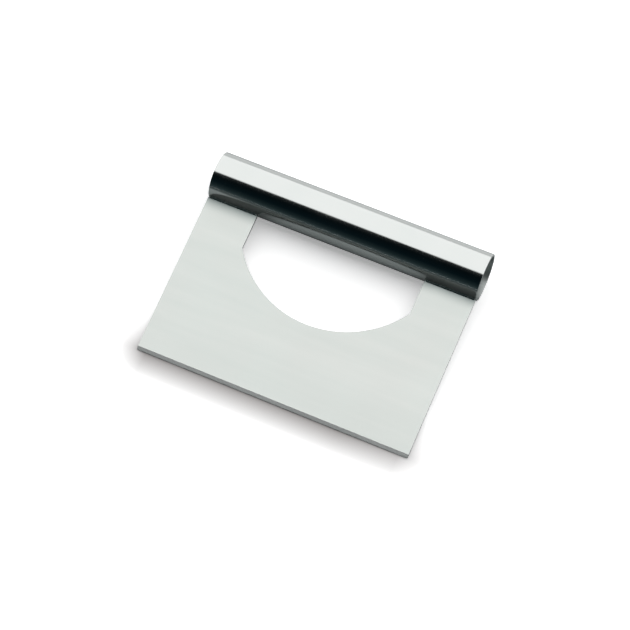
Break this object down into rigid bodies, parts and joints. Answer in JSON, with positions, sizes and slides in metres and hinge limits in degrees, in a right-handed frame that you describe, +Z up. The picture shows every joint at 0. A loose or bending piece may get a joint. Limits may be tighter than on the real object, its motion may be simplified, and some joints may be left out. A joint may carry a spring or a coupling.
{
  "type": "bench scraper",
  "caption": "Sloping sheet scraper with a D-shaped hand hole, a ground front edge and an open round tube handle welded along its rear.",
  "frame": {"origin": "on the worktop, under the centre of the scraper's outline, as it lies on the tube's underside and the sheet's front edge", "axes": "+X along the tube and the front edge, to the right; +Y from the front edge towards the tube; +Z up from the worktop"},
  "size_m": [0.15, 0.1146, 0.0258],
  "materials": {
    "polished_tube": "mirror-polished stainless steel",
    "satin_sheet": "fine satin stainless sheet",
    "weld_bead": "small dressed weld bead"
  },
  "bodies": {
    "root": {"handle_tube": "polished_tube", "blade": "satin_sheet", "left_upper_weld": "weld_bead", "left_lower_weld": "weld_bead", "right_upper_weld": "weld_bead", "right_lower_weld": "weld_bead"}
  },
  "joints": []
}
